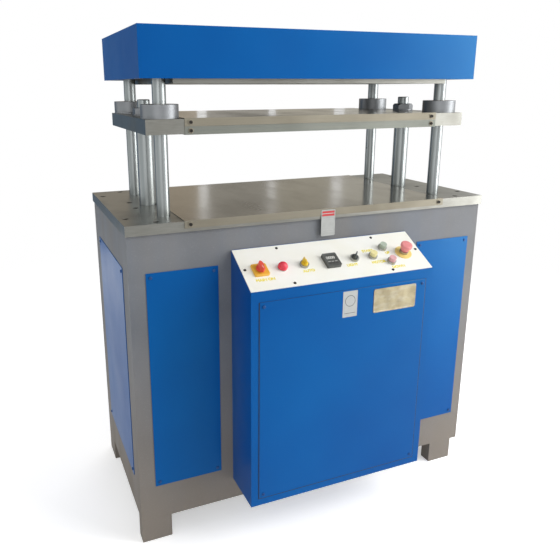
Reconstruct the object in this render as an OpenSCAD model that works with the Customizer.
// Four-pillar hydraulic die-cutting press. A cabinet carries a thick bed plate; four pillars rise
// from it to a crown under a sheet hood, and a platen slides on them. Two cylinders hang under the
// bed and pull the platen down onto a die on the bed, or push it up towards the crown.
// Millimetres, +Z up, front towards -Y. The origin is on the floor, midway between the floor bolts.

/* [Columns] */
// Distance between the left and right columns
column_pitch_x = 994; // [900:1:1100]
// Distance between the front and rear pillars
pillar_pitch_y = 406; // [380:1:460]
// Diameter of the guide pillars
pillar_d = 40; // [34:1:44]
// Step between a pillar and its threaded ends
pillar_shoulder = 3; // [2:0.5:5]
// Height of the cross hole in the rear pillars above the bed
pillar_hole_z = 128; // [40:1:200]
// Diameter of that cross hole
pillar_hole_d = 7; // [4:0.5:10]
// Diameter of the piston rods
rod_d = 55; // [45:1:60]
// Step between a piston rod and its threaded stud
rod_shoulder = 7.5; // [5:0.5:10]
// How far the rod's stud stands above its nut
stud_rise = 25; // [10:1:30]
// Thickness of the rod nuts
rod_nut_t = 25; // [20:1:34]
// Thickness of the pillar nuts
pillar_nut_t = 28; // [20:1:34]
// Radial running clearance of rods, pillars and pistons
running_fit = 0.05; // [0.02:0.01:0.1]

/* [Bed] */
// Height of the bed plate's top face above the floor
bed_top = 1055; // [1000:1:1150]
// Thickness of the bed plate
bed_t = 31; // [25:1:45]
// From a column's axis to the end of the bed plate
bed_end = 138; // [120:1:170]
// From a pillar's axis to the front or rear edge of the bed plate
bed_edge = 100; // [90:1:130]
// Thickness of the steel sheet on the bed
bed_sheet_t = 2; // [1.5:0.5:4]
// Gap between the bed sheet's end and a piston rod
bed_sheet_gap = 7.5; // [3:0.5:20]
// Height of the bed sheet's folded lip
bed_lip_h = 23; // [16:1:25]
// Head diameter of the bed's socket screws
bed_screw_head = 18; // [16:1:20]
// Depth and height of the stiffening ribs under the bed
rib_h = 140; // [100:5:160]
// Thickness of the stiffening ribs
rib_t = 16; // [10:1:20]
// Distance between the two ribs' centre planes
rib_pitch = 280; // [270:1:290]

/* [Platen] */
// Opening between the bed sheet and the platen at rest
lower_daylight = 240; // [225:1:280]
// Thickness of the platen
platen_t = 43; // [35:1:55]
// From the guide bush to the platen's end and front
platen_edge = 1; // [0.5:0.5:10]
// Thickness of the steel sheets on the platen
platen_sheet_t = 2; // [1.5:0.5:3]
// Gap between the platen sheets' ends and the bushes
platen_sheet_gap = 2; // [1:0.5:10]
// Gap between the lips of the top and bottom sheets
lip_seam = 1; // [0.5:0.5:3]
// Diameter of the guide bushes
bush_d = 110; // [95:1:120]
// Height of the guide bushes above the platen
bush_h = 40; // [30:1:45]
// Outer diameter of the bronze liners in the bushes
liner_d = 52; // [50:1:60]
// Travel of the platen down from rest
down_travel = 190; // [100:1:215]
// Travel of the platen up from rest
up_travel = 45; // [20:1:46]

/* [Crown] */
// Opening between the platen's top sheet and the bolster at rest
upper_daylight = 94; // [92:1:140]
// Thickness of the bolster under the crown plate
bolster_t = 18; // [12:1:25]
// Gap between the bolster's end and a pillar
bolster_gap = 7; // [3:0.5:20]
// Thickness of the crown plate
crown_t = 50; // [40:1:60]
// Height of the hood
hood_h = 139; // [125:1:170]
// Sheet thickness of the hood
hood_t = 2; // [1.5:0.5:3]
// How far the hood hangs below the crown plate
hood_drop = 4; // [1:1:12]
// Gap between the crown plate and the hood's ends
hood_gap_x = 14; // [8:1:30]
// Gap between the crown plate and the hood's front and rear
hood_gap_y = 20; // [8:1:30]

/* [Cabinet] */
// Height of the feet
foot_h = 80; // [60:1:120]
// Width of the feet
foot_w = 98; // [80:1:120]
// Depth of the feet
foot_depth = 45; // [40:1:60]
// Wall of the feet
foot_t = 5; // [4:1:8]
// How far the right feet stand in from the cabinet's side
foot_inset = 28; // [0:1:60]
// Thickness of the foot pads
pad_t = 10; // [6:1:15]
// Diameter of the floor-bolt holes
floor_bolt_d = 14; // [10:0.5:16]
// Thickness of the cabinet's walls
wall_t = 4; // [3:0.5:6]
// Overhang of the bed beyond the cabinet's sides
bed_over_x = 4; // [0:1:15]
// Overhang of the bed beyond the cabinet's front and rear
bed_over_y = 8; // [0:1:15]
// Leg of the frame's angle sections
angle_leg = 50; // [40:1:60]
// Thickness of the frame's angle sections
angle_t = 5; // [4:1:8]

/* [Panels] */
// Thickness of the screwed panels
panel_t = 2; // [1.5:0.5:3]
// From the cabinet's bottom edge up to the panels
panel_foot = 119; // [90:1:150]
// From the panels up to the cabinet's top edge
panel_head = 115; // [90:1:150]
// From the cabinet's left edge to the front left panel
front_left_margin = 50; // [30:1:60]
// From the cabinet's right edge to the front right panel
front_right_margin = 37; // [30:1:60]
// Width of the two front panels
front_panel_w = 222; // [180:1:225]
// Width of the side panels
side_panel_w = 420; // [380:1:450]
// Width of the rear panel
rear_panel_w = 900; // [800:1:1000]
// How far a panel laps over the window behind it
panel_lap = 22; // [16:1:30]
// From a panel's edge to its corner screws
panel_screw_in = 14; // [8:0.5:16]
// Head diameter of the panel screws
panel_screw_d = 10; // [8:0.5:12]
// Number of louvres in each of the rear panel's two banks
louvre_count = 9; // [4:1:12]
// Length of a louvre
louvre_w = 240; // [150:5:300]
// Pitch of the louvres
louvre_pitch = 26; // [22:1:30]
// How far a louvre stands out
louvre_out = 8; // [5:0.5:12]

/* [Control box] */
// Width of the control box
box_w = 634; // [620:1:660]
// How far the box stands out from the cabinet
box_depth = 158; // [140:1:180]
// Gap between the bed's underside and the highest edge of the sloping top
box_head_gap = 72; // [60:1:90]
// Height of the box's front face
box_front_h = 709; // [680:1:730]
// Rise of the sloping top from front to back
slope_rise = 88; // [80:1:110]
// Sheet thickness of the box
box_t = 2; // [1.5:0.5:3]
// From the box's sides to the door
door_side = 26; // [20:1:40]
// From the box's bottom edge to the door
door_foot = 25; // [20:1:40]
// From the door up to the sloping top's front edge
door_head = 31; // [22:1:40]
// Gap between the fascia and the slope's ends
fascia_gap = 3.5; // [1:0.5:6]
// Gap between the fascia and the box's sides
fascia_side_gap = 1; // [0.5:0.5:4]
// Distance of the electrical plate from the cabinet wall
plate_standoff = 25; // [15:1:40]

/* [Controls] */
// Distance of the middle row of controls from the fascia's top edge
row_v = 96; // [85:1:105]
// Distance of the upper button above that row
upper_v = 31; // [26:1:34]
// Distance of the lower button below that row
lower_v = 32; // [26:1:34]
// Main switch, from the fascia's left edge
main_switch_u = 57; // [45:1:70]
// Pilot lamp, from the fascia's left edge
lamp_u = 130; // [115:1:145]
// Mode selector, from the fascia's left edge
mode_u = 203; // [185:1:220]
// Stroke counter, left of the fascia's middle
counter_left = 20; // [0:1:40]
// Light selector, from the fascia's right edge
light_right = 252; // [240:1:270]
// Start button, from the fascia's right edge
start_right = 184; // [178:1:192]
// Up and down buttons, from the fascia's right edge
jog_right = 131; // [122:1:137]
// Emergency stop, from the fascia's right edge
estop_right = 66; // [57:1:77]
// Side of the square main switch plate and of the counter
square_side = 48; // [44:1:52]
// Thickness of the main switch plate
switch_plate_t = 7; // [4:1:10]
// Outer diameter of the bezels
bezel_d = 29; // [28:0.5:32]
// Diameter of the holes in the fascia for 22 mm devices
device_hole = 22.5; // [22.3:0.1:24]
// Diameter of the push-button caps
cap_d = 22; // [20:0.5:23]
// Travel of a push button
button_travel = 4; // [2:0.5:5]
// Diameter of the emergency stop's disc
estop_disc_d = 56; // [50:1:62]
// Diameter of the emergency stop's head
estop_head_d = 38; // [32:1:40]
// Travel of the emergency stop
estop_travel = 5; // [3:0.5:6]
// Free gap between a moving control and the part round it
control_gap = 0.5; // [0.3:0.1:1]

/* [Hydraulics] */
// Bore of the cylinders
bore_d = 100; // [90:1:110]
// Wall of the cylinder barrels
barrel_wall = 12.5; // [8:0.5:15]
// Side of the square cylinder flanges
flange_side = 150; // [145:1:160]
// Thickness of the cylinder flanges
flange_t = 30; // [20:1:40]
// Distance between flange screws along X
flange_screw_x = 104; // [100:1:110]
// Distance between flange screws along Y
flange_screw_y = 100; // [96:1:110]
// Length of the gland that guides the rod
gland_l = 40; // [30:1:60]
// Thickness of the piston
piston_t = 50; // [40:1:70]
// Free length at each end of the piston's stroke, where the oil ports open
piston_free = 20; // [18:1:25]
// Thickness of the cylinder's end cap
end_cap_t = 30; // [20:1:40]
// Outer diameter of the steel pipes
pipe_d = 16; // [12:1:18]
// Width of the oil tank
tank_w = 520; // [460:5:600]
// Depth of the oil tank
tank_d = 330; // [310:5:360]
// Height of the oil tank
tank_h = 260; // [200:5:300]
// Wall of the oil tank
tank_wall = 4; // [3:0.5:6]
// Thickness of the tank lid
lid_t = 8; // [6:1:12]
// Diameter of the motor's body
motor_d = 180; // [160:2:190]
// Length of the motor's body
motor_l = 260; // [220:5:280]
// Height of the motor's axis above the tank lid
motor_axis = 112; // [105:1:125]
// Diameter of the motor's shaft
motor_shaft_d = 28; // [20:1:32]
// Diameter of the shaft coupling
coupling_d = 70; // [60:1:80]
// Number of cooling fins on the motor
fin_count = 28; // [16:2:36]

/* [Hidden] */
$fn = 64;

// Finishes
cabinet_grey = [0.50, 0.50, 0.49];
steel_grey = [0.62, 0.62, 0.60];
bright_steel = [0.78, 0.78, 0.76];
dark_steel = [0.30, 0.30, 0.30];
enamel_blue = [0.02, 0.33, 0.62];
bronze = [0.72, 0.52, 0.28];
signal_red = [0.80, 0.10, 0.12];
signal_yellow = [0.95, 0.75, 0.10];
button_green = [0.45, 0.60, 0.45];
fascia_cream = [0.93, 0.92, 0.86];

// Columns
col_x = column_pitch_x / 2;
pillar_y = pillar_pitch_y / 2;
neck_d = pillar_d - 2 * pillar_shoulder;
stud_d = rod_d - 2 * rod_shoulder;
rod_hole_gap = 1;
cut = 1;
function nut_flats(thread_d) = 1.6 * thread_d;

// Bed
bed_w = column_pitch_x + 2 * bed_end;
bed_d = pillar_pitch_y + 2 * bed_edge;
bed_under = bed_top - bed_t;
bed_face = bed_top + bed_sheet_t;
bed_sheet_w = column_pitch_x - rod_d - 2 * bed_sheet_gap;
bed_screw_d = 12;
bed_screw_deep = 13;
tapped_deep = 24;
tap_room = 4;
lip_screw_in = 18;
washer_d = 16;
washer_t = 1.2;
lip_head_d = 9.5;
lip_head_t = 3;
lip_shank_d = 5;
lip_shank_l = 14;

// Platen and crown
platen_w = column_pitch_x + bush_d + 2 * platen_edge;
platen_d = pillar_pitch_y + bush_d + 2 * platen_edge;
platen_z = bed_face + lower_daylight + platen_sheet_t;
platen_top = platen_z + platen_t;
platen_sheet_w = column_pitch_x - bush_d - 2 * platen_sheet_gap;
platen_lip_h = (platen_t + 2 * platen_sheet_t - lip_seam) / 2;
platen_lip_rows = [platen_top + platen_sheet_t - platen_lip_h / 2,
                   platen_z - platen_sheet_t + platen_lip_h / 2];
bush_screw_d = 8;
bush_head_d = 13;
bush_head_t = 8;
bush_screw_r = (bush_d + liner_d) / 4;
bolster_z = platen_top + platen_sheet_t + upper_daylight;
bolster_w = column_pitch_x - pillar_d - 2 * bolster_gap;
crown_z = bolster_z + bolster_t;
crown_top = crown_z + crown_t;
hood_w = platen_w + 2 * (hood_gap_x + hood_t);
hood_d = platen_d + 2 * (hood_gap_y + hood_t);
hood_z = crown_z - hood_drop;
hood_lip_gap = 4;
hood_lip = hood_gap_x - hood_lip_gap;
clip_t = 3;
clip_leg = 30;
clip_w = 60;
clip_screw_in = 8;
clip_screw_x = platen_w / 2 - clip_screw_in;

// Cabinet
cab_w = bed_w - 2 * bed_over_x;
cab_d = bed_d - 2 * bed_over_y;
cab_h = bed_under - foot_h;
cab_front = -cab_d / 2;
in_x = cab_w / 2 - wall_t;
in_y = cab_d / 2 - wall_t;
weld_gap = 0.5;
floor_bolt_x = cab_w / 2 - (foot_w + foot_inset) / 2;
floor_bolt_y = cab_d / 2 - (foot_depth + foot_t) / 2;
frame_screw_x = in_x - angle_leg * 0.3;
frame_screw_y = in_y - angle_leg * 0.3;
end_screw_out = 41;
end_screw_x = col_x + end_screw_out;
bearer_w = 60;
bearer_h = 40;
bearer_wall = 3;

// Panels
panel_z = foot_h + panel_foot;
panel_h = cab_h - panel_foot - panel_head;
left_panel_x = -cab_w / 2 + front_left_margin + front_panel_w / 2;
right_panel_x = cab_w / 2 - front_right_margin - front_panel_w / 2;
screw_shank_d = 6;
screw_head_t = 3;
screw_shank_l = 12;
louvre_h = 16;
louvre_skin = 1.2;
louvre_mid = 50;
louvre_bank_x = louvre_w / 2 + louvre_mid;
louvre_foot = 60;
gland_thread_d = 25;
gland_hex = 36;
gland_bore = 14;
gland_nut_t = 12;
gland_cap_l = 22;
gland_cap_flare = 5;
gland_lock_t = 6;
gland_tail = 12;
gland_in = 60;
gland_rise = 70;
gland_x = floor_bolt_x - gland_in;
gland_z = foot_h + gland_rise;
cable_hole_d = 60;
cable_hole_x = 120;
cable_hole_z = 480;

// Control box: the slope runs from the cabinet's front down to the box's front
box_bottom = bed_under - box_head_gap - slope_rise - box_front_h;
box_front = cab_front - box_depth;
box_front_top = box_bottom + box_front_h;
slope_top = box_front_top + slope_rise;
slope_angle = atan2(slope_rise, box_depth);
slope_l = norm([slope_rise, box_depth]);
fascia_w = box_w - 2 * fascia_side_gap;
fascia_l = slope_l - 2 * fascia_gap;
fascia_t = 2;
fascia_lap = 18;
fascia_screw_in = 12;
fascia_screw_side = 144;
fascia_screw_d = 9;
door_w = box_w - 2 * door_side;
door_z = box_bottom + door_foot;
door_h = box_front_h - door_foot - door_head;
door_lap = 20;
box_flange = 30;
box_fixing_in = 80;
fascia_screw_t = 2;
nut_room = 6;
plate_w = 480;
plate_h = 560;
plate_rise = 60;
plate_z = box_bottom + plate_rise;
plate_screw_in = 20;
spacer_d = 12;

// Switchgear on the electrical plate: contactors, relays, supply, drive and terminal strip
top_row = 400;
middle_row = 180;
strip_row = 60;
switch_h = 80;
contactor_w = 45;
contactor_deep = 85;
contactor_pitch = 58;
contactor_x = -150;
relay_w = 28;
relay_deep = 70;
relay_pitch = 40;
relay_x = 50;
supply_w = 100;
supply_deep = 90;
supply_x = -140;
drive_w = 120;
drive_deep = 60;
drive_x = 100;
strip_w = 360;
strip_deep = 42;
strip_h = 45;

// Controls, each a spot on the fascia: from its left edge and down from its upper edge
main_switch_spot = [main_switch_u, row_v];
lamp_spot = [lamp_u, row_v];
counter_spot = [fascia_w / 2 - counter_left, row_v];
selector_spots = [[mode_u, row_v], [fascia_w - light_right, row_v]];
jog_u = fascia_w - jog_right;
button_spots = [[fascia_w - start_right, row_v], [jog_u, row_v - upper_v],
                [jog_u, row_v + lower_v]];
device_spots = concat(selector_spots, button_spots);
estop_spot = [fascia_w - estop_right, row_v];
bezel_floor = 1.5;
bezel_h = bezel_floor + button_travel + 2.5;
tube_d = device_hole - 0.5;
tube_l = 12;
stem_d = 11;
stem_hole = stem_d + 2 * control_gap;
cap_base = bezel_floor + button_travel + control_gap;
cap_l = 11;
cap_edge = 1;
cap_top = cap_base + cap_l;
locknut_t = 5;
block_side = 30;
block_l = 46;
knob_d = cap_d;
knob_h = 13;
grip_h = 11;
grip_t = 8;
grip_tip_y = 11;
grip_tail_y = 7;
light_turn = -45;
lamp_d = 27;
lamp_base_h = 8;
counter_t = 9;
counter_window_w = 36;
counter_window_h = 18;
counter_window_y = 6;
counter_window_deep = 2;
counter_body = square_side - 4;
counter_body_l = 60;
switch_body_l = 55;
switch_shaft_d = 8;
switch_shaft_l = 20;
switch_disc_d = 34;
switch_disc_t = 7;
handle_h = 15;
handle_tip_y = 15;
handle_tip_d = 7;
handle_tail_y = 11;
handle_tail_d = 12;
estop_disc_t = 3;
estop_skirt_z = estop_disc_t + bezel_floor + estop_travel + control_gap;
estop_head_z = estop_skirt_z + 10;
estop_socket = 7;
estop_cap_h = 14;
estop_bevel_h = 5;
estop_bevel = 7;

// Hydraulics
cyl_x = col_x;
chamber_top = bed_under - flange_t - gland_l;
piston_top = chamber_top - up_travel - piston_free;
piston_z = piston_top - piston_t;
chamber_z = piston_z - down_travel - piston_free;
cyl_z = chamber_z - end_cap_t;
barrel_d = bore_d + 2 * barrel_wall;
port_d = 12;
boss_d = 34;
boss_l = 16;
port_y = -(barrel_d / 2 + boss_l);
top_port_z = chamber_top - port_d / 2 - 3;
low_port_z = chamber_z + port_d / 2 + 3;
tank_z = foot_h + angle_t + bearer_h;
tank_y = 60;
lid_over = 10;
lid_z = tank_z + tank_h;
lid_top = lid_z + lid_t;
filler_in_x = 50;
filler_in_y = 45;
filler_neck_d = 40;
filler_neck_h = 30;
filler_cap_d = 66;
filler_cap_h = 26;
sight_w = 24;
sight_t = 14;
sight_h = 110;
sight_edge = 5;
sight_groove = 6;
sight_end = 18;
drain_d = 27;
drain_l = 12;
drain_rise = 30;
gauge_d = 63;
gauge_t = 28;
gauge_stem_d = 12;
gauge_stem_l = 40;

// Motor, coupling and pump on one axis
axis_off = 70;
axis_y = tank_y + axis_off;
axis_z = lid_top + motor_axis;
motor_in = 10;
motor_x = motor_in - tank_w / 2;
cowl_l = 50;
cowl_t = 2;
cowl_slot = 8;
shield_t = 14;
fin_h = 11;
fin_t = 3;
fin_root = 2;
motor_foot_l = 40;
motor_foot_t = 12;
motor_foot_in = 30;
foot_web = 20;
foot_web_off = 50;
terminal_l = 110;
terminal_w = 90;
terminal_rise = 28;
terminal_in = 60;
shaft_in = 8;
fan_in = 10;
fan_hub_d = 56;
fan_hub_l = 30;
blade_t = 4;
blade_root = 6;
blade_end_gap = 3;
blade_tip_gap = 14;
coupling_in = 4;
coupling_half = 26;
spider_t = 12;
spider_step = 4;
bell_x = motor_x + cowl_l + motor_l;
bell_l = 90;
bell_step = 18;
bell_d = motor_d - 2 * bell_step;
bell_wall = 8;
bell_flange_t = 10;
bell_window_in = 24;
bell_window_l = 44;
bell_window_h = 40;
pump_x = bell_x + bell_l;
pump_l = 80;
pump_w = 90;
pump_h = 84;
pump_shaft_d = 18;
pump_shaft_in = 20;
pump_bore_l = 30;
pump_flange_d = 110;
pump_flange_t = 12;
shaft_gap = 2;
suction_d = 30;
pump_out_x = pump_x + pump_l / 2;
pump_out_z = axis_z + pump_h / 2;

// Valve block and pipes
block_x = 120;
block_y = 80;
block_h = 70;
valve_in = 25;
valve_y = tank_y - tank_d / 2 + block_y / 2 + valve_in;
valve_x = -16;
valve_l = 64;
valve_w = 46;
valve_h = 48;
coil_d = 42;
coil_l = 56;
coil_z = 26;
coil_pin_d = 20;
coil_pin_l = 66;
outlet_z = lid_top + block_h / 2;
outlet_bore_l = 30;
pipe_wall = 2;
pipe_bend = 22;
pipe_off = 34;
pipe_spacing = 14;
bridge_rise = 50;
bridge_z = pump_out_z + bridge_rise;
upper_pipe_y = port_y - pipe_off;
lower_pipe_y = upper_pipe_y - pipe_d - pipe_spacing;

module at_pillars()
    for (x = [-col_x, col_x])
        for (y = [-pillar_y, pillar_y])
            translate([x, y, 0])
                children();

module at_rods()
    for (x = [-col_x, col_x])
        translate([x, 0, 0])
            children();

module both_sides() {
    children();
    mirror([1, 0, 0])
        children();
}

module front_and_rear() {
    children();
    mirror([0, 1, 0])
        children();
}

module ring(outer_d, inner_d, h)
    difference() {
        cylinder(d = outer_d, h = h);
        translate([0, 0, -cut])
            cylinder(d = inner_d, h = h + 2 * cut);
    }

module hex_nut(thread_d, h)
    difference() {
        cylinder(d = nut_flats(thread_d) / cos(30), h = h, $fn = 6);
        translate([0, 0, -cut])
            cylinder(d = thread_d + 2 * running_fit, h = h + 2 * cut);
    }

// Box centred on X and Y, standing on Z = 0
module block(size)
    translate([-size[0] / 2, -size[1] / 2, 0])
        cube(size);

module corner_spots(w, h, inset)
    for (x = [-1, 1])
        for (z = [0, 1])
            translate([x * (w / 2 - inset), 0, inset + z * (h - 2 * inset)])
                children();

// Shapes along +Y: a hole's cutter, and a screw whose head rests on the plane Y = 0
module hole_y(d, l)
    translate([0, -cut, 0])
        rotate([-90, 0, 0])
            cylinder(d = d, h = l + 2 * cut);

module screw_y(head_d, head_t, shank_d, shank_l)
    rotate([-90, 0, 0]) {
        translate([0, 0, -head_t])
            cylinder(d = head_d, h = head_t);
        cylinder(d = shank_d, h = shank_l);
    }

// Angle section along +X, its corner on the X axis, legs towards +Y and +Z
module angle_x(l)
    rotate([90, 0, 90])
        linear_extrude(l)
            polygon([[0, 0], [angle_leg, 0], [angle_leg, angle_t],
                     [angle_t, angle_t], [angle_t, angle_leg], [0, angle_leg]]);

module angle_z(l)
    linear_extrude(l)
        polygon([[0, 0], [angle_leg, 0], [angle_leg, angle_t],
                 [angle_t, angle_t], [angle_t, angle_leg], [0, angle_leg]]);

// Channel standing up: web along +X at Y = 0, flanges towards +Y
module foot_channel()
    difference() {
        cube([foot_w, foot_depth, foot_h]);
        translate([foot_t, foot_t, -cut])
            cube([foot_w - 2 * foot_t, foot_depth, foot_h + 2 * cut]);
    }

module floor_bolt_hole(x, y)
    translate([x, y, -cut])
        cylinder(d = floor_bolt_d, h = pad_t + 2 * cut);

module front_foot(x)
    translate([x, cab_front, 0]) {
        foot_channel();
        difference() {
            translate([foot_t, foot_t, 0])
                cube([foot_w - 2 * foot_t, foot_depth - foot_t, pad_t]);
            floor_bolt_hole(sign(x) * floor_bolt_x - x, -floor_bolt_y - cab_front);
        }
    }

// The rear feet are turned: the web faces outwards and the pad reaches past the flanges
module rear_foot(x)
    translate([x, -cab_front - foot_w, 0]) {
        translate([0, foot_w, 0])
            rotate([0, 0, -90])
                foot_channel();
        difference() {
            translate([foot_t, foot_t, 0])
                cube([foot_w - foot_t, foot_w - 2 * foot_t, pad_t]);
            floor_bolt_hole(-floor_bolt_x - x, floor_bolt_y + cab_front + foot_w);
        }
    }

module feet()
    color(cabinet_grey) {
        front_foot(-cab_w / 2);
        front_foot(cab_w / 2 - foot_inset - foot_w);
        rear_foot(-cab_w / 2);
        mirror([1, 0, 0])
            rear_foot(foot_inset - cab_w / 2);
    }

module corner_posts()
    color(dark_steel)
        difference() {
            both_sides()
                front_and_rear()
                    translate([-in_x, -in_y, foot_h])
                        angle_z(cab_h);
            on_front(left_panel_x)
                panel_screw_holes(front_panel_w, screw_shank_l);
            on_front(right_panel_x)
                panel_screw_holes(front_panel_w, screw_shank_l);
        }

module rail_ring() {
    half_x = in_x - angle_leg - weld_gap;
    half_y = in_y - angle_leg - weld_gap;
    front_and_rear()
        translate([-half_x, -in_y, 0])
            angle_x(2 * half_x);
    both_sides()
        translate([-in_x, half_y, 0])
            rotate([0, 0, -90])
                angle_x(2 * half_y);
}

module frame_screw_spots()
    both_sides()
        front_and_rear() {
            translate([frame_screw_x, pillar_y, 0])
                children();
            translate([end_screw_x, frame_screw_y, 0])
                children();
        }

module flange_screw_spots()
    at_rods()
        for (x = [-1, 1])
            for (y = [-1, 1])
                translate([x * flange_screw_x / 2, y * flange_screw_y / 2, 0])
                    children();

module frame_rails()
    color(dark_steel) {
        translate([0, 0, foot_h])
            rail_ring();
        difference() {
            translate([0, 0, bed_under])
                mirror([0, 0, 1])
                    rail_ring();
            frame_screw_spots()
                translate([0, 0, bed_under - angle_leg])
                    cylinder(d = bed_screw_d + 2 * running_fit, h = angle_leg + cut);
        }
        // Stiffening ribs under the bed
        for (y = [-rib_pitch / 2, rib_pitch / 2])
            translate([0, y, bed_under - rib_h])
                block([2 * (in_x - angle_leg - weld_gap), rib_t, rib_h]);
    }

// Box-section bearers for the tank, open at both ends
module tank_bearers()
    color(dark_steel)
        both_sides()
            translate([tank_w / 2 - bearer_w, 0, foot_h + angle_t])
                difference() {
                    block([bearer_w, 2 * (in_y - angle_t), bearer_h]);
                    translate([0, 0, bearer_wall])
                        block([bearer_w - 2 * bearer_wall, 2 * in_y, bearer_h - 2 * bearer_wall]);
                }

module panel_blank(w)
    difference() {
        translate([-w / 2, 0, panel_z])
            cube([w, panel_t, panel_h]);
        translate([0, 0, panel_z])
            corner_spots(w, panel_h, panel_screw_in)
                hole_y(screw_shank_d + 1, panel_t);
    }

// Cutter for the window behind a panel and for the panel's screws
module window_cut(w) {
    translate([-w / 2 + panel_lap, -cut, panel_z + panel_lap])
        cube([w - 2 * panel_lap, wall_t + 2 * cut, panel_h - 2 * panel_lap]);
    panel_screw_holes(w, wall_t);
}

module panel_screw_holes(w, deep)
    translate([0, 0, panel_z])
        corner_spots(w, panel_h, panel_screw_in)
            hole_y(screw_shank_d + 2 * running_fit, deep);

module panel_corner_screws(w)
    translate([0, 0, panel_z])
        corner_spots(w, panel_h, panel_screw_in)
            screw_y(panel_screw_d, screw_head_t, screw_shank_d, screw_shank_l);

// Places for the panels: children face -Y at Y = 0 and are set against the cabinet's faces
module on_front(x)
    translate([x, cab_front, 0])
        children();

module on_left()
    translate([-cab_w / 2, 0, 0])
        rotate([0, 0, -90])
            children();

module on_right()
    translate([cab_w / 2, 0, 0])
        rotate([0, 0, 90])
            children();

module on_rear()
    translate([0, -cab_front, 0])
        rotate([0, 0, 180])
            children();

module front_wall()
    color(cabinet_grey)
        difference() {
            translate([-cab_w / 2, cab_front, foot_h])
                cube([cab_w, wall_t, cab_h]);
            on_front(left_panel_x)
                window_cut(front_panel_w);
            on_front(right_panel_x)
                window_cut(front_panel_w);
            for (x = [-cable_hole_x, cable_hole_x])
                on_front(x)
                    translate([0, 0, cable_hole_z])
                        hole_y(cable_hole_d, wall_t);
            box_fixing_spots()
                hole_y(screw_shank_d, wall_t);
        }

module rear_wall()
    color(cabinet_grey)
        difference() {
            translate([-cab_w / 2, -cab_front - wall_t, foot_h])
                cube([cab_w, wall_t, cab_h]);
            on_rear()
                window_cut(rear_panel_w);
            translate([gland_x, -cab_front - wall_t, gland_z])
                hole_y(gland_thread_d, wall_t);
        }

module side_walls()
    color(cabinet_grey) {
        side_wall_blank()
            on_left()
                window_cut(side_panel_w);
        mirror([1, 0, 0])
            side_wall_blank()
                on_left()
                    window_cut(side_panel_w);
    }

module side_wall_blank()
    difference() {
        translate([-cab_w / 2, -in_y, foot_h])
            cube([wall_t, 2 * in_y, cab_h]);
        children();
    }

module front_panels()
    color(enamel_blue)
        for (x = [left_panel_x, right_panel_x])
            on_front(x)
                translate([0, -panel_t, 0])
                    panel_blank(front_panel_w);

module side_panels()
    color(enamel_blue) {
        on_left()
            translate([0, -panel_t, 0])
                panel_blank(side_panel_w);
        on_right()
            translate([0, -panel_t, 0])
                panel_blank(side_panel_w);
    }

// One pressed louvre: a hood on the panel's outer face that opens downwards
module louvre(skin, back)
    translate([-louvre_w / 2 + skin, 0, 0])
        rotate([90, 0, 90])
            linear_extrude(louvre_w - 2 * skin)
                polygon([[back, -skin], [skin - louvre_out, -skin],
                         [skin - louvre_out, louvre_h * 0.3 - skin / 2],
                         [0, louvre_h - skin], [back, louvre_h - skin]]);

module louvre_spots()
    for (x = [-louvre_bank_x, louvre_bank_x])
        for (i = [0 : louvre_count - 1])
            translate([x, 0, panel_z + panel_h - louvre_foot - i * louvre_pitch])
                children();

module rear_panel()
    color(enamel_blue)
        on_rear()
            difference() {
                union() {
                    translate([0, -panel_t, 0])
                        panel_blank(rear_panel_w);
                    louvre_spots()
                        translate([0, -panel_t, 0])
                            louvre(0, panel_t);
                }
                louvre_spots()
                    translate([0, -panel_t, 0])
                        louvre(louvre_skin, panel_t + cut);
            }

module panel_screws()
    color(dark_steel) {
        for (x = [left_panel_x, right_panel_x])
            on_front(x)
                translate([0, -panel_t, 0])
                    panel_corner_screws(front_panel_w);
        on_left()
            translate([0, -panel_t, 0])
                panel_corner_screws(side_panel_w);
        on_right()
            translate([0, -panel_t, 0])
                panel_corner_screws(side_panel_w);
        on_rear()
            translate([0, -panel_t, 0])
                panel_corner_screws(rear_panel_w);
        // Screws of the door, of the fascia and of the control box
        translate([0, box_front - panel_t, door_z])
            corner_spots(door_w, door_h, panel_screw_in)
                screw_y(panel_screw_d, screw_head_t, screw_shank_d, screw_shank_l);
        fascia_screw_spots() {
            translate([0, 0, fascia_t])
                cylinder(d = fascia_screw_d, h = fascia_screw_t);
            translate([0, 0, fascia_t - screw_shank_l])
                cylinder(d = lip_shank_d, h = screw_shank_l + cut);
        }
        box_fixing_spots()
            translate([0, -box_t, 0])
                screw_y(panel_screw_d, screw_head_t, screw_shank_d, box_t + wall_t + nut_room);
        // Screws of the hood's clips
        clip_screw_spots()
            translate([0, 0, crown_top + clip_t]) {
                cylinder(d = bush_head_d, h = bush_screw_d * 0.6, $fn = 6);
                translate([0, 0, -2 * bush_screw_d])
                    cylinder(d = bush_screw_d, h = 2 * bush_screw_d + cut);
            }
    }

module bed_screw_hole()
    translate([0, 0, bed_under - cut]) {
        cylinder(d = bed_screw_d + 1, h = bed_t + 2 * cut);
        translate([0, 0, bed_t + cut - bed_screw_deep])
            cylinder(d = bed_screw_head + 1, h = bed_screw_deep + cut);
    }

module bed_plate()
    color(steel_grey)
        difference() {
            translate([0, 0, bed_under])
                block([bed_w, bed_d, bed_t]);
            at_pillars()
                translate([0, 0, bed_under - cut])
                    cylinder(d = neck_d + 2 * running_fit, h = bed_t + 2 * cut);
            at_rods()
                translate([0, 0, bed_under - cut])
                    cylinder(d = rod_d + 2 * rod_hole_gap, h = bed_t + 2 * cut);
            frame_screw_spots()
                bed_screw_hole();
            flange_screw_spots()
                bed_screw_hole();
            front_and_rear()
                lip_screw_spots(bed_sheet_w, bed_d / 2, bed_face - bed_lip_h / 2)
                    hole_y(lip_shank_d + 2 * running_fit, lip_shank_l);
        }

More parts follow.
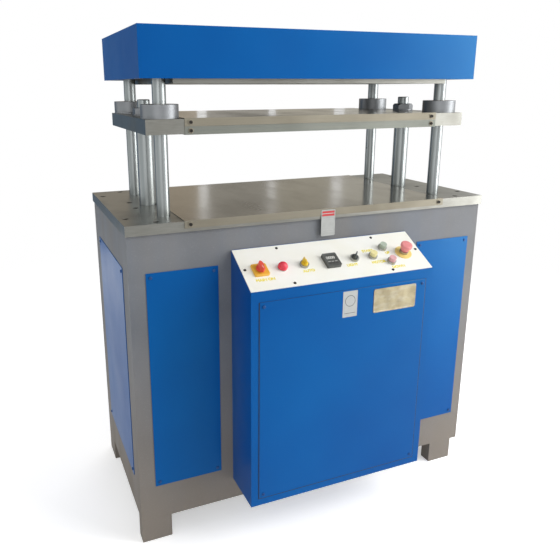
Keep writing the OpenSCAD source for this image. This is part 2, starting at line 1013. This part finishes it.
// Spots of the two screws on the front lip of a folded sheet
module lip_screw_spots(w, half_d, z)
    for (x = [-1, 1])
        translate([x * (w / 2 - lip_screw_in), -half_d, z])
            children();

// Sheet with a lip folded down over the front and the rear of a plate
module lipped_sheet(w, d, t, lip_h)
    difference() {
        translate([0, 0, -lip_h])
            block([w, d + 2 * t, lip_h]);
        translate([0, 0, -lip_h - t])
            block([w + 2 * cut, d, lip_h]);
        front_and_rear()
            lip_screw_spots(w, d / 2 + t, -lip_h / 2)
                hole_y(lip_shank_d + 1, t);
    }

module lip_screw(t)
    translate([0, -t, 0]) {
        translate([0, -washer_t, 0])
            rotate([-90, 0, 0])
                cylinder(d = washer_d, h = washer_t);
        translate([0, -washer_t, 0])
            screw_y(lip_head_d, lip_head_t, lip_shank_d, lip_shank_l);
    }

module bed_sheet()
    color(bright_steel)
        translate([0, 0, bed_face])
            lipped_sheet(bed_sheet_w, bed_d, bed_sheet_t, bed_lip_h);

// Socket screw whose head rests on the plane Z = 0
module socket_screw(length) {
    cylinder(d = bed_screw_head, h = bed_screw_d);
    translate([0, 0, -length])
        cylinder(d = bed_screw_d, h = length + cut);
}

module bed_screws()
    color(dark_steel) {
        grip = bed_t - bed_screw_deep;
        translate([0, 0, bed_top - bed_screw_deep]) {
            frame_screw_spots()
                socket_screw(grip + angle_t + nut_room);
            flange_screw_spots()
                socket_screw(grip + tapped_deep - tap_room);
        }
        front_and_rear()
            lip_screw_spots(bed_sheet_w, bed_d / 2, bed_face - bed_lip_h / 2)
                lip_screw(bed_sheet_t);
    }

module pillar(drilled)
    difference() {
        union() {
            translate([0, 0, bed_under - pillar_nut_t - pillar_shoulder])
                cylinder(d = neck_d, h = bed_t + pillar_nut_t + pillar_shoulder + cut);
            translate([0, 0, bed_top])
                cylinder(d = pillar_d, h = crown_z - bed_top);
            translate([0, 0, crown_z - cut])
                cylinder(d = neck_d, h = crown_t + pillar_nut_t + pillar_shoulder + cut);
        }
        if (drilled)
            translate([-pillar_d / 2 - cut, 0, bed_top + pillar_hole_z])
                rotate([0, 90, 0])
                    cylinder(d = pillar_hole_d, h = pillar_d + 2 * cut);
    }

module guide_pillars()
    color(bright_steel)
        for (x = [-col_x, col_x]) {
            translate([x, -pillar_y, 0])
                pillar(false);
            translate([x, pillar_y, 0])
                pillar(true);
        }

module pillar_nuts()
    color(dark_steel)
        at_pillars() {
            translate([0, 0, bed_under - pillar_nut_t])
                hex_nut(neck_d, pillar_nut_t);
            translate([0, 0, crown_top])
                hex_nut(neck_d, pillar_nut_t);
        }

module crown_plate()
    color(dark_steel)
        difference() {
            translate([0, 0, crown_z])
                block([platen_w, platen_d, crown_t]);
            at_pillars()
                translate([0, 0, crown_z - cut])
                    cylinder(d = neck_d + 2 * running_fit, h = crown_t + 2 * cut);
            clip_screw_spots()
                translate([0, 0, crown_top - 2 * bush_screw_d])
                    cylinder(d = bush_screw_d + 2 * running_fit, h = 2 * bush_screw_d + cut);
        }

module clip_screw_spots()
    both_sides()
        for (y = [-pillar_y / 2, pillar_y / 2])
            translate([clip_screw_x, y, 0])
                children();

module bolster()
    color(steel_grey)
        translate([0, 0, bolster_z])
            block([bolster_w, platen_d, bolster_t]);

module crown_hood()
    color(enamel_blue) {
        translate([0, 0, hood_z])
            difference() {
                block([hood_w, hood_d, hood_h]);
                translate([0, 0, hood_t])
                    block([hood_w - 2 * hood_t, hood_d - 2 * hood_t, hood_h - 2 * hood_t]);
                translate([0, 0, -cut])
                    block([hood_w - 2 * (hood_t + hood_lip), hood_d - 2 * (hood_t + hood_lip),
                           hood_h / 2]);
            }
        both_sides()
            for (y = [-pillar_y / 2, pillar_y / 2])
                hood_clip(y);
    }

// Angle clip welded inside the hood's end, resting on the crown plate
module hood_clip(y)
    translate([hood_w / 2 - hood_t, y - clip_w / 2, crown_top]) {
        difference() {
            translate([-clip_leg, 0, 0])
                cube([clip_leg, clip_w, clip_t]);
            translate([clip_screw_x - hood_w / 2 + hood_t, clip_w / 2, -cut])
                cylinder(d = bush_screw_d + 1, h = clip_t + 2 * cut);
        }
        translate([-clip_t, 0, 0])
            cube([clip_t, clip_w, clip_leg]);
    }

module platen()
    color(steel_grey)
        difference() {
            translate([0, 0, platen_z])
                block([platen_w, platen_d, platen_t]);
            at_pillars()
                translate([0, 0, platen_z - cut])
                    cylinder(d = liner_d + 2 * running_fit, h = platen_t + 2 * cut);
            at_rods()
                translate([0, 0, platen_z - cut])
                    cylinder(d = stud_d + 2 * running_fit, h = platen_t + 2 * cut);
            bush_screw_spots()
                translate([0, 0, platen_top - 2 * bush_screw_d])
                    cylinder(d = bush_screw_d + 2 * running_fit, h = 2 * bush_screw_d + cut);
            front_and_rear()
                for (z = platen_lip_rows)
                    lip_screw_spots(platen_sheet_w, platen_d / 2, z)
                        hole_y(lip_shank_d + 2 * running_fit, lip_shank_l);
        }

module bush_screw_spots()
    at_pillars()
        for (a = [45 : 90 : 315])
            rotate([0, 0, a])
                translate([bush_screw_r, 0, 0])
                    children();

module guide_bushes()
    color(steel_grey)
        difference() {
            at_pillars()
                translate([0, 0, platen_top])
                    ring(bush_d, liner_d + 2 * running_fit, bush_h);
            bush_screw_spots()
                translate([0, 0, platen_top - cut]) {
                    cylinder(d = bush_screw_d + 1, h = bush_h + 2 * cut);
                    translate([0, 0, bush_h + cut - bush_head_t - 1])
                        cylinder(d = bush_head_d + 1, h = bush_head_t + 1 + cut);
                }
        }

module bush_liners()
    color(bronze)
        at_pillars()
            translate([0, 0, platen_z])
                ring(liner_d, pillar_d + 2 * running_fit, platen_t + bush_h);

module platen_top_sheet()
    color(bright_steel)
        translate([0, 0, platen_top + platen_sheet_t])
            lipped_sheet(platen_sheet_w, platen_d, platen_sheet_t, platen_lip_h);

module platen_bottom_sheet()
    color(bright_steel)
        translate([0, 0, platen_z - platen_sheet_t])
            mirror([0, 0, 1])
                lipped_sheet(platen_sheet_w, platen_d, platen_sheet_t, platen_lip_h);

module platen_screws()
    color(dark_steel) {
        front_and_rear()
            for (z = platen_lip_rows)
                lip_screw_spots(platen_sheet_w, platen_d / 2, z)
                    lip_screw(platen_sheet_t);
        bush_screw_spots()
            translate([0, 0, platen_top + bush_h - bush_head_t - 1]) {
                cylinder(d = bush_head_d, h = bush_head_t);
                translate([0, 0, -bush_h])
                    cylinder(d = bush_screw_d, h = bush_h + cut);
            }
    }

module piston_rods()
    color(bright_steel)
        at_rods() {
            translate([0, 0, piston_z])
                cylinder(d = stud_d, h = piston_t + cut);
            translate([0, 0, piston_top])
                cylinder(d = rod_d, h = platen_z - piston_top);
            translate([0, 0, platen_z - cut])
                cylinder(d = stud_d, h = platen_t + rod_nut_t + stud_rise - 2 + cut);
            translate([0, 0, platen_top + rod_nut_t + stud_rise - 2])
                cylinder(d1 = stud_d, d2 = stud_d - 4, h = 2);
        }

module pistons()
    color(steel_grey)
        at_rods()
            translate([0, 0, piston_z])
                difference() {
                    ring(bore_d - 2 * running_fit, stud_d + 2 * running_fit, piston_t);
                    for (z = [piston_t * 0.25, piston_t * 0.65])
                        translate([0, 0, z])
                            ring(bore_d + cut, bore_d - 8, 5);
                }

module rod_nuts()
    color(steel_grey)
        at_rods()
            translate([0, 0, platen_top])
                hex_nut(stud_d, rod_nut_t);

module cylinder_body()
    difference() {
        union() {
            translate([0, 0, bed_under - flange_t])
                block([flange_side, flange_side, flange_t]);
            translate([0, 0, cyl_z])
                cylinder(d = barrel_d, h = bed_under - flange_t - cyl_z + cut);
            for (z = [top_port_z, low_port_z])
                translate([0, port_y, z])
                    rotate([-90, 0, 0])
                        cylinder(d = boss_d, h = boss_l + barrel_wall / 2);
        }
        translate([0, 0, chamber_z])
            cylinder(d = bore_d, h = bed_under - flange_t - chamber_z);
        translate([0, 0, bed_under - flange_t - cut])
            cylinder(d = rod_d + 2 * rod_hole_gap, h = flange_t + 2 * cut);
        for (z = [top_port_z, low_port_z])
            translate([0, port_y, z])
                hole_y(port_d, boss_l + barrel_wall + 2);
        for (x = [-1, 1])
            for (y = [-1, 1])
                translate([x * flange_screw_x / 2, y * flange_screw_y / 2,
                           bed_under - tapped_deep])
                    cylinder(d = bed_screw_d, h = tapped_deep + cut);
    }

module cylinders()
    color(dark_steel)
        at_rods()
            cylinder_body();

module cylinder_glands()
    color(bronze)
        at_rods()
            translate([0, 0, chamber_top])
                ring(bore_d, rod_d + 2 * running_fit, gland_l);

module oil_tank()
    color(enamel_blue)
        translate([0, tank_y, tank_z])
            difference() {
                block([tank_w, tank_d, tank_h]);
                translate([0, 0, tank_wall])
                    block([tank_w - 2 * tank_wall, tank_d - 2 * tank_wall, tank_h]);
            }

module tank_lid()
    color(dark_steel)
        translate([0, tank_y, lid_z])
            block([tank_w + 2 * lid_over, tank_d + 2 * lid_over, lid_t]);

module tank_fittings() {
    // Filler with breather cap
    color(bright_steel)
        translate([filler_in_x - tank_w / 2, tank_y - tank_d / 2 + filler_in_y, lid_top]) {
            cylinder(d = filler_neck_d, h = filler_neck_h);
            translate([0, 0, filler_neck_h])
                cylinder(d = filler_cap_d, h = filler_cap_h);
        }
    // Sight gauge on the tank's rear
    color(signal_yellow)
        translate([-tank_w / 4, tank_y + tank_d / 2, tank_z + tank_h * 0.3])
            difference() {
                translate([-sight_w / 2, 0, 0])
                    cube([sight_w, sight_t, sight_h]);
                translate([sight_edge - sight_w / 2, sight_t - sight_groove, sight_end])
                    cube([sight_w - 2 * sight_edge, sight_groove + cut, sight_h - 2 * sight_end]);
            }
    // Drain plug
    color(bright_steel)
        translate([tank_w / 4, tank_y + tank_d / 2, tank_z + drain_rise])
            rotate([-90, 0, 0])
                cylinder(d = drain_d, h = drain_l, $fn = 6);
    // Pressure gauge on the pressure line
    color(bright_steel)
        translate([pump_out_x, (axis_y + valve_y) / 2, bridge_z + pipe_d / 2]) {
            cylinder(d = gauge_stem_d, h = gauge_stem_l);
            translate([0, gauge_t / 2, gauge_stem_l + gauge_d / 3])
                rotate([90, 0, 0])
                    cylinder(d = gauge_d, h = gauge_t);
        }
}

// Shapes along +X on the motor's axis
module on_axis(x)
    translate([x, axis_y, axis_z])
        rotate([90, 0, 90])
            children();

module motor()
    color(steel_grey) {
        difference() {
            union() {
                on_axis(motor_x + cowl_l)
                    linear_extrude(motor_l)
                        union() {
                            circle(d = motor_d - 2 * fin_h);
                            for (i = [0 : fin_count - 1])
                                rotate(i * 360 / fin_count)
                                    translate([motor_d / 2 - fin_h - fin_root, -fin_t / 2])
                                        square([fin_h + fin_root, fin_t]);
                        }
                for (x = [motor_x + cowl_l, motor_x + cowl_l + motor_l - shield_t])
                    on_axis(x)
                        cylinder(d = motor_d, h = shield_t);
                on_axis(motor_x)
                    cylinder(d = motor_d, h = cowl_l + cut);
                motor_foot(motor_x + cowl_l + motor_foot_in);
                motor_foot(bell_x - motor_foot_in - motor_foot_l);
                // Terminal box
                translate([motor_x + cowl_l + terminal_in, axis_y - terminal_w / 2, axis_z])
                    cube([terminal_l, terminal_w, motor_d / 2 + terminal_rise]);
            }
            on_axis(motor_x - cut)
                cylinder(d = motor_shaft_d + 2 * running_fit, h = cowl_l + motor_l + 2 * cut);
            // Room for the fan, and the cowl's air slots
            on_axis(motor_x + cowl_t)
                cylinder(d = motor_d - 2 * cowl_t, h = cowl_l - cowl_t);
            on_axis(motor_x - cut)
                for (a = [0 : 45 : 315])
                    rotate(a)
                        translate([motor_d / 5, -cowl_slot / 2, 0])
                            cube([motor_d / 5, cowl_slot, cowl_t + 2 * cut]);
        }
    }

module motor_foot(x)
    translate([x, axis_y - motor_d / 2, lid_top]) {
        cube([motor_foot_l, motor_d, motor_foot_t]);
        for (side = [-1, 1])
            translate([0, motor_d / 2 + side * foot_web_off - foot_web / 2, 0])
                cube([motor_foot_l, foot_web, motor_axis - motor_d / 4]);
    }

module bell_housing()
    color(dark_steel)
        difference() {
            union() {
                on_axis(bell_x)
                    cylinder(d = bell_d, h = bell_l);
                on_axis(bell_x)
                    cylinder(d = motor_d, h = bell_flange_t);
            }
            on_axis(bell_x - cut)
                cylinder(d = bell_d - 2 * bell_wall, h = bell_l - bell_wall + cut);
            on_axis(bell_x)
                cylinder(d = pump_shaft_d + 2 * shaft_gap, h = bell_l + cut);
            translate([bell_x + bell_window_in, axis_y - bell_d, axis_z - bell_window_h / 2])
                cube([bell_window_l, 2 * bell_d, bell_window_h]);
        }

// Rotor: shaft with the cooling fan, the jaw coupling and the pump's stub
module drive_shaft()
    color(bright_steel) {
        coupling_l = 2 * coupling_half + spider_t;
        on_axis(motor_x + shaft_in)
            cylinder(d = motor_shaft_d,
                     h = cowl_l + motor_l - shaft_in + coupling_in + coupling_half);
        on_axis(motor_x + fan_in) {
            cylinder(d = fan_hub_d, h = fan_hub_l);
            for (a = [0 : 60 : 300])
                rotate(a)
                    translate([fan_hub_d / 2 - blade_root, -blade_t / 2, blade_end_gap])
                        cube([(motor_d - fan_hub_d) / 2 + blade_root - blade_tip_gap, blade_t,
                              fan_hub_l - 2 * blade_end_gap]);
        }
        for (x = [0, coupling_half + spider_t])
            on_axis(bell_x + coupling_in + x)
                cylinder(d = coupling_d, h = coupling_half);
        on_axis(bell_x + coupling_in + coupling_half)
            cylinder(d = coupling_d - 2 * spider_step, h = spider_t);
        on_axis(bell_x + coupling_in + coupling_l - cut)
            cylinder(d = pump_shaft_d,
                     h = bell_l - coupling_in - coupling_l + pump_shaft_in + cut);
    }

module gear_pump()
    color(steel_grey)
        difference() {
            union() {
                on_axis(pump_x)
                    translate([-pump_w / 2, -pump_h / 2, 0])
                        cube([pump_w, pump_h, pump_l]);
                on_axis(pump_x)
                    cylinder(d = pump_flange_d, h = pump_flange_t);
                // Suction pipe down into the tank lid
                translate([pump_x + pump_l * 0.6, axis_y, lid_top])
                    cylinder(d = suction_d, h = motor_axis - pump_h / 2 + cut);
            }
            on_axis(pump_x - cut)
                cylinder(d = pump_shaft_d + 2 * running_fit, h = pump_bore_l + cut);
        }

module valve_block()
    color(steel_grey)
        translate([0, valve_y, lid_top])
            difference() {
                block([block_x, block_y, block_h]);
                for (x = [-block_x / 3, block_x / 3])
                    translate([x, -block_y / 2 - cut, block_h / 2])
                        rotate([-90, 0, 0])
                            cylinder(d = pipe_d - 2 * pipe_wall, h = outlet_bore_l);
            }

module solenoid_valve()
    color(dark_steel)
        translate([valve_x, valve_y, lid_top + block_h]) {
            block([valve_l, valve_w, valve_h]);
            // The two coils, with the pins for working them by hand
            for (side = [-1, 1])
                translate([side * valve_l / 2, 0, coil_z])
                    rotate([0, side * 90, 0]) {
                        cylinder(d = coil_d, h = coil_l);
                        cylinder(d = coil_pin_d, h = coil_pin_l);
                    }
        }

// Pipe along axis-parallel legs with round bends at the inner points
module pipe(path) {
    last = len(path) - 1;
    for (i = [0 : last - 1]) {
        leg = path[i + 1] - path[i];
        dir = leg / norm(leg);
        from = path[i] + (i == 0 ? 0 : pipe_bend) * dir;
        long = norm(leg) - (i == 0 ? 0 : pipe_bend) - (i == last - 1 ? 0 : pipe_bend);
        translate(from)
            pipe_leg(dir, long);
    }
    if (last > 1)
        for (i = [1 : last - 1])
            pipe_elbow(path[i], unit(path[i] - path[i - 1]), unit(path[i + 1] - path[i]));
}

function unit(v) = v / norm(v);

module pipe_leg(dir, long)
    rotate([0, acos(dir[2]), atan2(dir[1], dir[0])])
        cylinder(d = pipe_d, h = long);

// Quarter bend at a corner: it leaves along the direction out after coming in along dir_in
module pipe_elbow(corner, dir_in, dir_out) {
    x = -dir_out;
    y = dir_in;
    z = cross(x, y);
    centre = corner - dir_in * pipe_bend + dir_out * pipe_bend;
    multmatrix([[x[0], y[0], z[0], centre[0]],
                [x[1], y[1], z[1], centre[1]],
                [x[2], y[2], z[2], centre[2]]])
        rotate_extrude(angle = 90)
            translate([pipe_bend, 0])
                circle(d = pipe_d);
}

module header_pipe(y, z)
    pipe([[-cyl_x, port_y, z], [-cyl_x, y, z], [cyl_x, y, z], [cyl_x, port_y, z]]);

module hydraulic_pipes()
    color(bright_steel) {
        block_front = valve_y - block_y / 2;
        header_pipe(upper_pipe_y, top_port_z);
        header_pipe(lower_pipe_y, low_port_z);
        pipe([[-block_x / 3, block_front, outlet_z], [-block_x / 3, upper_pipe_y, outlet_z],
              [-block_x / 3, upper_pipe_y, top_port_z]]);
        pipe([[block_x / 3, block_front, outlet_z], [block_x / 3, lower_pipe_y, outlet_z],
              [block_x / 3, lower_pipe_y, low_port_z]]);
        // Pressure line from the pump over to the block
        pipe([[pump_out_x, axis_y, pump_out_z], [pump_out_x, axis_y, bridge_z],
              [pump_out_x, valve_y, bridge_z], [pump_out_x, valve_y, outlet_z],
              [block_x / 2, valve_y, outlet_z]]);
    }

// Screws that hold the control box to the cabinet's front wall
module box_fixing_spots()
    for (x = [-1, 1] * (box_w - box_flange) / 2)
        for (z = [box_bottom + box_fixing_in, box_front_top - box_fixing_in])
            translate([x, cab_front, z])
                children();

// Side profile of the box in Y and Z, shrunk by the sheet on the outer sides
module box_profile(skin, back) {
    rise = skin / cos(slope_angle);
    polygon([[cab_front + back, box_bottom + skin],
             [box_front + skin, box_bottom + skin],
             [box_front + skin, box_front_top + skin * tan(slope_angle) - rise],
             [cab_front + back, slope_top + back * tan(slope_angle) - rise]]);
}

module box_solid(w, skin, back)
    translate([-w / 2, 0, 0])
        rotate([90, 0, 90])
            linear_extrude(w)
                box_profile(skin, back);

module control_box()
    color(enamel_blue)
        difference() {
            box_solid(box_w, 0, 0);
            box_solid(box_w - 2 * box_t, box_t, -box_t);
            // Open back inside a flange, and the openings behind the door and the fascia
            translate([box_flange - box_w / 2, cab_front - box_t - cut, box_bottom + box_flange])
                cube([box_w - 2 * box_flange, box_t + 2 * cut,
                      slope_top - box_bottom - 3 * box_flange]);
            translate([door_lap - door_w / 2, box_front - cut, door_z + door_lap])
                cube([door_w - 2 * door_lap, box_t + 2 * cut, door_h - 2 * door_lap]);
            on_slope(fascia_lap, fascia_l - fascia_lap)
                translate([0, 0, -box_t - cut])
                    cube([fascia_w - 2 * fascia_lap, fascia_l - 2 * fascia_lap, box_t + 2 * cut]);
            translate([0, box_front, door_z])
                corner_spots(door_w, door_h, panel_screw_in)
                    hole_y(screw_shank_d, box_t);
            fascia_screw_spots()
                translate([0, 0, -box_t - cut])
                    cylinder(d = lip_shank_d, h = box_t + 2 * cut);
            box_fixing_spots()
                translate([0, -box_t, 0])
                    hole_y(screw_shank_d + 1, box_t);
        }

// Frame on the sloping top: u runs right and v down the slope from the fascia's upper left
// corner, and Z stands out of the face
module on_slope(u, v)
    translate([-fascia_w / 2, cab_front, slope_top])
        rotate([slope_angle, 0, 0])
            translate([u, -v - fascia_gap, 0])
                children();

// The same frame on the outer face of the fascia
module on_fascia(spot)
    on_slope(spot[0], spot[1])
        translate([0, 0, fascia_t])
            children();

module fascia_screw_spots() {
    for (u = [fascia_screw_side, fascia_w - fascia_screw_side])
        for (v = [fascia_screw_in, fascia_l - fascia_screw_in])
            on_slope(u, v)
                children();
    for (u = [fascia_screw_in, fascia_w - fascia_screw_in])
        on_slope(u, fascia_l / 2)
            children();
}

module door_panel()
    color(enamel_blue)
        translate([0, box_front - panel_t, door_z])
            difference() {
                translate([-door_w / 2, 0, 0])
                    cube([door_w, panel_t, door_h]);
                corner_spots(door_w, door_h, panel_screw_in)
                    hole_y(screw_shank_d + 1, panel_t);
            }

module fascia()
    color(fascia_cream)
        difference() {
            on_slope(0, fascia_l)
                cube([fascia_w, fascia_l, fascia_t]);
            for (spot = concat(device_spots, [main_switch_spot, lamp_spot, estop_spot]))
                on_fascia(spot)
                    translate([0, 0, -fascia_t - cut])
                        cylinder(d = device_hole, h = fascia_t + 2 * cut);
            on_fascia(counter_spot)
                translate([0, 0, -fascia_t - cut])
                    block([counter_body, counter_body, fascia_t + 2 * cut]);
            fascia_screw_spots()
                translate([0, 0, -cut])
                    cylinder(d = lip_shank_d + 1, h = fascia_t + 2 * cut);
        }

module plate_spacer_spots()
    translate([0, 0, plate_z])
        corner_spots(plate_w, plate_h, plate_screw_in)
            children();

module electrical_plate()
    color(steel_grey) {
        difference() {
            translate([-plate_w / 2, cab_front - plate_standoff - box_t, plate_z])
                cube([plate_w, box_t, plate_h]);
            for (x = [-cable_hole_x, cable_hole_x])
                translate([x, cab_front - plate_standoff - box_t, cable_hole_z])
                    hole_y(cable_hole_d, box_t);
        }
        plate_spacer_spots()
            translate([0, cab_front - plate_standoff, 0])
                rotate([-90, 0, 0])
                    cylinder(d = spacer_d, h = plate_standoff);
    }

// One device on the plate, at a height above its lower edge: width, depth off the plate, height
module switchgear(x, row, size)
    translate([x - size[0] / 2, cab_front - plate_standoff - box_t - size[1], plate_z + row])
        cube(size);

module contactors()
    color(dark_steel) {
        for (i = [0 : 2])
            switchgear(contactor_x + contactor_pitch * i, top_row,
                       [contactor_w, contactor_deep, switch_h]);
        for (i = [0 : 3])
            switchgear(relay_x + relay_pitch * i, top_row, [relay_w, relay_deep, switch_h]);
        switchgear(supply_x, middle_row, [supply_w, supply_deep, switch_h]);
        switchgear(drive_x, middle_row, [drive_w, drive_deep, switch_h]);
        switchgear(0, strip_row, [strip_w, strip_deep, strip_h]);
    }

module cable_gland()
    color(dark_steel)
        translate([gland_x, -cab_front, gland_z])
            rotate([90, 0, 0])
                difference() {
                    union() {
                        // Nut and cap outside, lock nut inside the wall
                        translate([0, 0, -gland_nut_t])
                            cylinder(d = gland_hex, h = gland_nut_t, $fn = 6);
                        translate([0, 0, -gland_nut_t - gland_cap_l])
                            cylinder(d1 = gland_thread_d, d2 = gland_thread_d + gland_cap_flare,
                                     h = gland_cap_l + cut / 2);
                        cylinder(d = gland_thread_d, h = wall_t + gland_tail);
                        translate([0, 0, wall_t])
                            cylinder(d = gland_hex, h = gland_lock_t, $fn = 6);
                    }
                    translate([0, 0, -gland_nut_t - gland_cap_l - cut])
                        cylinder(d = gland_bore,
                                 h = gland_nut_t + gland_cap_l + wall_t + gland_tail + 2 * cut);
                }

// Contact blocks clipped under the 22 mm devices
module contact_blocks()
    color(dark_steel)
        for (spot = concat(device_spots, [lamp_spot, estop_spot]))
            on_fascia(spot)
                translate([0, 0, -fascia_t - tube_l - block_l])
                    block([block_side, block_side, block_l]);

module main_switch_plate()
    color(signal_yellow)
        on_fascia(main_switch_spot)
            difference() {
                union() {
                    block([square_side, square_side, switch_plate_t]);
                    translate([0, 0, -fascia_t - cut])
                        cylinder(d = tube_d, h = fascia_t + 2 * cut);
                    translate([0, 0, -fascia_t - switch_body_l])
                        block([square_side - 4, square_side - 4, switch_body_l]);
                }
                translate([0, 0, -switch_shaft_l - cut])
                    cylinder(d = switch_shaft_d + 2 * running_fit,
                             h = switch_shaft_l + switch_plate_t + 2 * cut);
            }

// Rotary handle with a pointed grip
module main_switch_knob()
    color(signal_red)
        on_fascia(main_switch_spot) {
            translate([0, 0, switch_plate_t + control_gap])
                cylinder(d = switch_disc_d, h = switch_disc_t);
            translate([0, 0, switch_plate_t + control_gap + switch_disc_t - cut])
                hull() {
                    translate([0, handle_tip_y, 0])
                        cylinder(d = handle_tip_d, h = handle_h, $fn = 32);
                    translate([0, -handle_tail_y, 0])
                        cylinder(d = handle_tail_d, h = handle_h, $fn = 32);
                }
            translate([0, 0, -switch_shaft_l])
                cylinder(d = switch_shaft_d,
                         h = switch_shaft_l + switch_plate_t + control_gap + cut);
        }

module pilot_lamp() {
    on_fascia(lamp_spot) {
        color(signal_red) {
            translate([0, 0, -fascia_t - tube_l])
                cylinder(d = tube_d, h = fascia_t + tube_l + cut);
            cylinder(d = lamp_d, h = lamp_base_h);
            translate([0, 0, lamp_base_h])
                scale([1, 1, 0.6])
                    half_ball(lamp_d);
        }
    }
}

module half_ball(d)
    rotate_extrude()
        intersection() {
            circle(d = d);
            square(d);
        }

module stroke_counter()
    color(dark_steel)
        on_fascia(counter_spot)
            difference() {
                union() {
                    block([square_side, square_side, counter_t]);
                    translate([0, 0, -fascia_t - counter_body_l])
                        block([counter_body, counter_body, fascia_t + counter_body_l + cut]);
                }
                translate([0, counter_window_y, counter_t - counter_window_deep])
                    block([counter_window_w, counter_window_h, counter_window_deep + cut]);
            }

// Bezel of a 22 mm device with its threaded tube and lock nut
module device_bezel(base)
    translate([0, 0, base]) {
        difference() {
            cylinder(d = bezel_d, h = bezel_h);
            translate([0, 0, bezel_floor])
                cylinder(d = cap_d + 2 * control_gap, h = bezel_h);
            translate([0, 0, -cut])
                cylinder(d = stem_hole, h = bezel_h);
        }
        translate([0, 0, -base - fascia_t - tube_l])
            ring(tube_d, stem_hole, base + fascia_t + tube_l + cut / 2);
        translate([0, 0, -base - fascia_t - locknut_t])
            difference() {
                cylinder(d = bezel_d, h = locknut_t, $fn = 6);
                translate([0, 0, -cut])
                    cylinder(d = stem_hole, h = locknut_t + 2 * cut);
            }
    }

module control_bezels()
    color(bright_steel) {
        for (spot = device_spots)
            on_fascia(spot)
                device_bezel(0);
        on_fascia(estop_spot)
            device_bezel(estop_disc_t);
    }

// Knob of a selector: its grip points up the slope when the turn is 0
module selector(turn)
    rotate([0, 0, turn]) {
        translate([0, 0, bezel_floor + control_gap])
            cylinder(d = knob_d, h = knob_h - bezel_floor - control_gap);
        translate([0, 0, knob_h - cut])
            hull() {
                translate([0, grip_tip_y, 0])
                    cylinder(d = grip_t * 0.75, h = grip_h, $fn = 32);
                translate([0, -grip_tail_y, 0])
                    cylinder(d = grip_t, h = grip_h, $fn = 32);
            }
        translate([0, 0, -fascia_t - tube_l + 1])
            cylinder(d = stem_d, h = fascia_t + tube_l + bezel_floor + control_gap);
    }

module mode_knob()
    color(signal_yellow)
        on_fascia(selector_spots[0])
            selector(0);

module light_knob()
    color(dark_steel)
        on_fascia(selector_spots[1])
            selector(light_turn);

// Cap and stem of a push button at rest
module button() {
    translate([0, 0, cap_base])
        cylinder(d = cap_d, h = cap_l - cap_edge);
    translate([0, 0, cap_top - cap_edge])
        cylinder(d1 = cap_d, d2 = cap_d - 2 * cap_edge, h = cap_edge);
    translate([0, 0, -fascia_t - tube_l + button_travel + control_gap])
        cylinder(d = stem_d, h = fascia_t + tube_l + cap_base - button_travel);
}

module start_button()
    color(signal_yellow)
        on_fascia(button_spots[0])
            button();

module up_button()
    color(button_green)
        on_fascia(button_spots[1])
            button();

module down_button()
    color(signal_red)
        on_fascia(button_spots[2])
            button();

module estop_disc()
    color(signal_yellow)
        on_fascia(estop_spot)
            ring(estop_disc_d, tube_d, estop_disc_t);

module estop_stem()
    color(bright_steel)
        on_fascia(estop_spot)
            translate([0, 0, -fascia_t - tube_l + estop_travel + control_gap])
                cylinder(d = stem_d, h = fascia_t + tube_l + estop_head_z + estop_socket
                                         - estop_travel - 2 * control_gap);

// Mushroom head that turns on the stem
module estop_head()
    color(signal_red)
        on_fascia(estop_spot)
            difference() {
                union() {
                    translate([0, 0, estop_skirt_z])
                        cylinder(d = cap_d, h = estop_head_z - estop_skirt_z + cut);
                    translate([0, 0, estop_head_z])
                        cylinder(d = estop_head_d, h = estop_cap_h - estop_bevel_h);
                    translate([0, 0, estop_head_z + estop_cap_h - estop_bevel_h])
                        cylinder(d1 = estop_head_d, d2 = estop_head_d - 2 * estop_bevel,
                                 h = estop_bevel_h);
                }
                translate([0, 0, estop_skirt_z - cut])
                    cylinder(d = stem_d + 2 * running_fit,
                             h = estop_head_z + estop_socket - estop_skirt_z + cut);
            }

feet();
corner_posts();
frame_rails();
tank_bearers();
front_wall();
rear_wall();
side_walls();
front_panels();
side_panels();
rear_panel();
panel_screws();
bed_plate();
bed_sheet();
bed_screws();
guide_pillars();
pillar_nuts();
crown_plate();
bolster();
crown_hood();
platen();
guide_bushes();
bush_liners();
platen_top_sheet();
platen_bottom_sheet();
platen_screws();
piston_rods();
pistons();
rod_nuts();
cylinders();
cylinder_glands();
oil_tank();
tank_lid();
tank_fittings();
motor();
bell_housing();
drive_shaft();
gear_pump();
valve_block();
solenoid_valve();
hydraulic_pipes();
control_box();
door_panel();
fascia();
electrical_plate();
contactors();
cable_gland();
contact_blocks();
main_switch_plate();
main_switch_knob();
pilot_lamp();
stroke_counter();
control_bezels();
mode_knob();
light_knob();
start_button();
up_button();
down_button();
estop_disc();
estop_stem();
estop_head();
